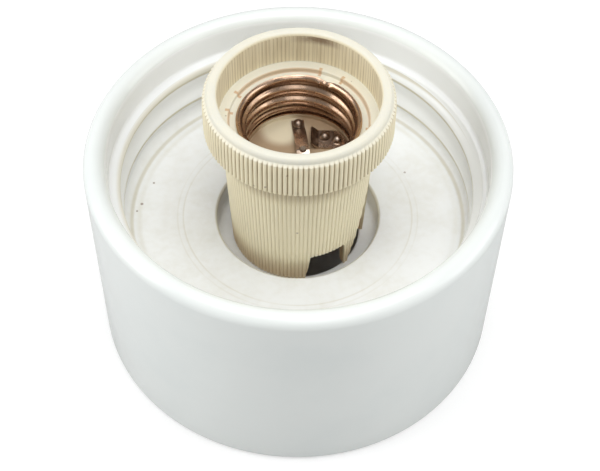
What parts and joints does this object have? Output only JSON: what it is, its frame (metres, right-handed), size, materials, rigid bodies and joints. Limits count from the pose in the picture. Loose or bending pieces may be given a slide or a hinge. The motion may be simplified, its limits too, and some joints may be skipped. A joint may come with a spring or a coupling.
{
  "type": "ceramic lamp holder with glazed base",
  "caption": "Cream ceramic screw lamp holder with a ribbed collar standing in a round white glazed porcelain base whose inside is threaded for a screw-neck glass globe",
  "frame": {"origin": "centre of the foot ring, on the plane the base stands on", "axes": "+Z out of the lamp mouth, along the common axis; -Y towards the camera of the picture; +X to its right"},
  "size_m": [0.1, 0.1, 0.0758],
  "materials": {
    "white_porcelain": "white glaze, glossy",
    "cream_ceramic": "unglazed steatite, satin",
    "copper_alloy": "rolled, slightly tarnished",
    "contact_nickel": "nickel plated, worn",
    "terminal_brass": "machined",
    "plated_steel": "zinc plated"
  },
  "bodies": {
    "holder": {"porcelain_base": "white_porcelain", "holder_body": "cream_ceramic", "thread_shell": "copper_alloy", "centre_contact_rivet": "contact_nickel", "shell_contact": "contact_nickel", "shell_contact_rivets": "contact_nickel", "live_terminal": "terminal_brass", "neutral_terminal": "terminal_brass", "terminal_screws": "plated_steel", "mounting_bracket": "plated_steel", "bracket_screws": "plated_steel", "bracket_washers": "plated_steel", "holder_nuts": "plated_steel"},
    "contact": {"centre_contact": "contact_nickel"}
  },
  "joints": [
    {"name": "contact_spring", "type": "hinge", "parent": "holder", "child": "contact", "pos_m": [-0.0002, 0.0097, 0.0544], "axis": [1, 0, 0], "range_deg": [0, 6], "stiffness_Nm_per_rad": 0.27}
  ]
}
